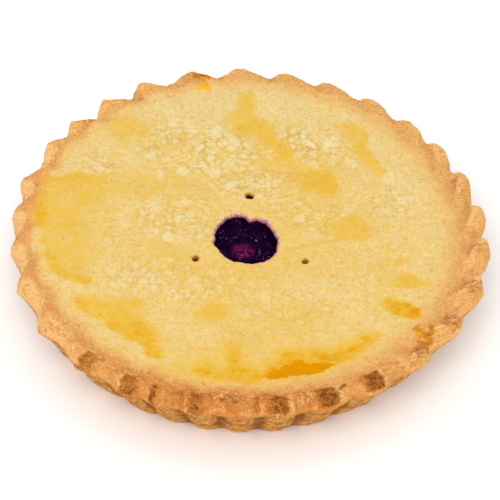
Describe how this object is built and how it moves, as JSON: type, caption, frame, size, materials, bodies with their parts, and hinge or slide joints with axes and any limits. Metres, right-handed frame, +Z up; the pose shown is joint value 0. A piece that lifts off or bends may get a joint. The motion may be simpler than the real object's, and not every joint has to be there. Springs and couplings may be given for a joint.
{
  "type": "blueberry pie",
  "caption": "Round double-crust fruit pie with a fluted edge, a ribbed side, a round hole in the lid that shows dark berry filling, and small pricked vents.",
  "frame": {"origin": "middle of the flat underside, on the surface that the pie stands on", "axes": "+Z up through the hole in the lid; -Y towards the pie's front, the side nearest the viewer in the picture"},
  "size_m": [0.208, 0.2089, 0.0363],
  "materials": {
    "pastry": "baked shortcrust, matt with patches of egg wash",
    "fruit": "wet, glossy dark purple berry gel"
  },
  "bodies": {
    "root": {"crust": "pastry", "filling": "fruit"}
  },
  "joints": []
}
